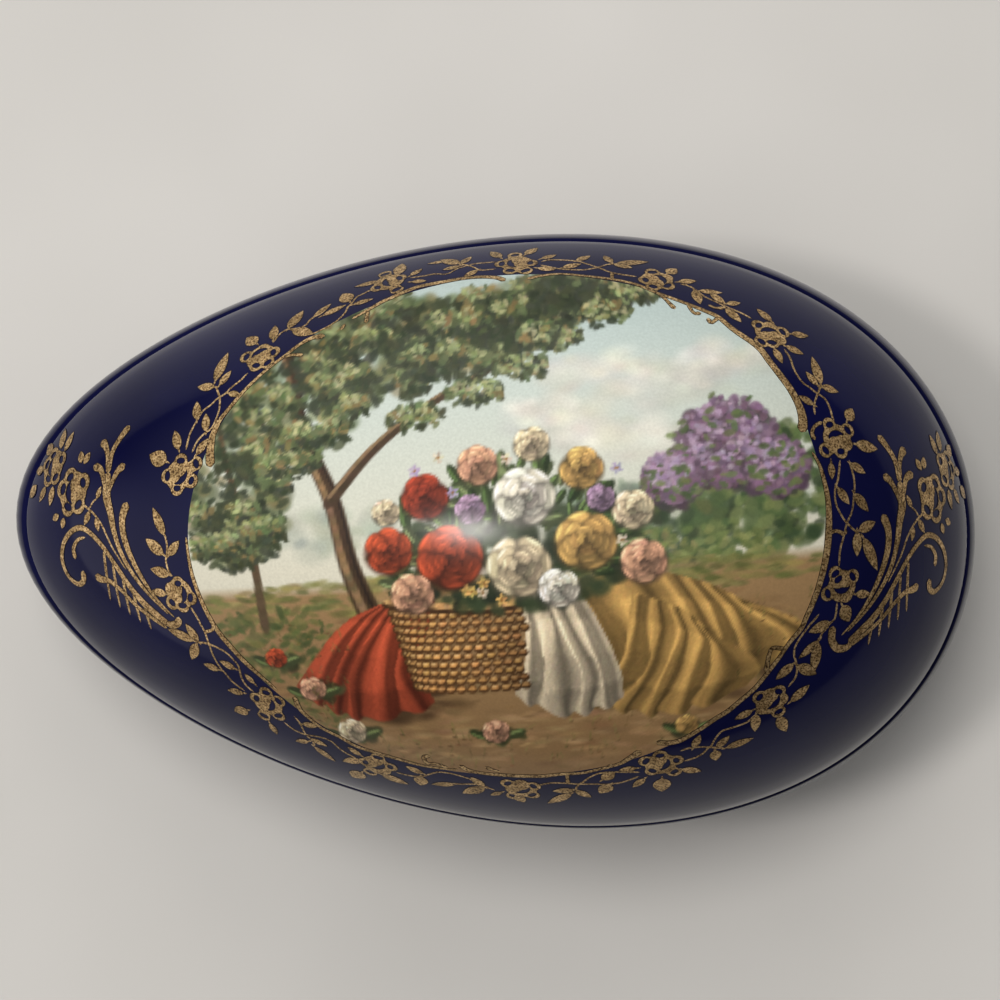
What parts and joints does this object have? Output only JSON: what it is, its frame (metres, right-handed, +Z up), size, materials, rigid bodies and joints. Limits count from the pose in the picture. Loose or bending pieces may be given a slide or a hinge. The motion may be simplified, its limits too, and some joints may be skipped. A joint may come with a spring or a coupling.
{
  "type": "egg trinket box",
  "caption": "Hollow porcelain egg box lying on a low oval foot, with a lift-off domed lid, cobalt glaze, a painted oval medallion and a gold rose garland.",
  "frame": {"origin": "under the middle of the egg's length and width, on the surface that the foot stands on", "axes": "+Z up through the lid, +X along the egg towards its blunt end, +Y across the egg"},
  "size_m": [0.15, 0.0926, 0.0904],
  "materials": {
    "lid_glaze": "glossy cobalt blue glaze with a fired picture",
    "base_glaze": "glossy cobalt blue glaze outside, white glaze inside",
    "gilding": "thin fired gold transfer, slightly granular"
  },
  "bodies": {
    "root": {"lid": "lid_glaze", "base": "base_glaze"}
  },
  "joints": []
}
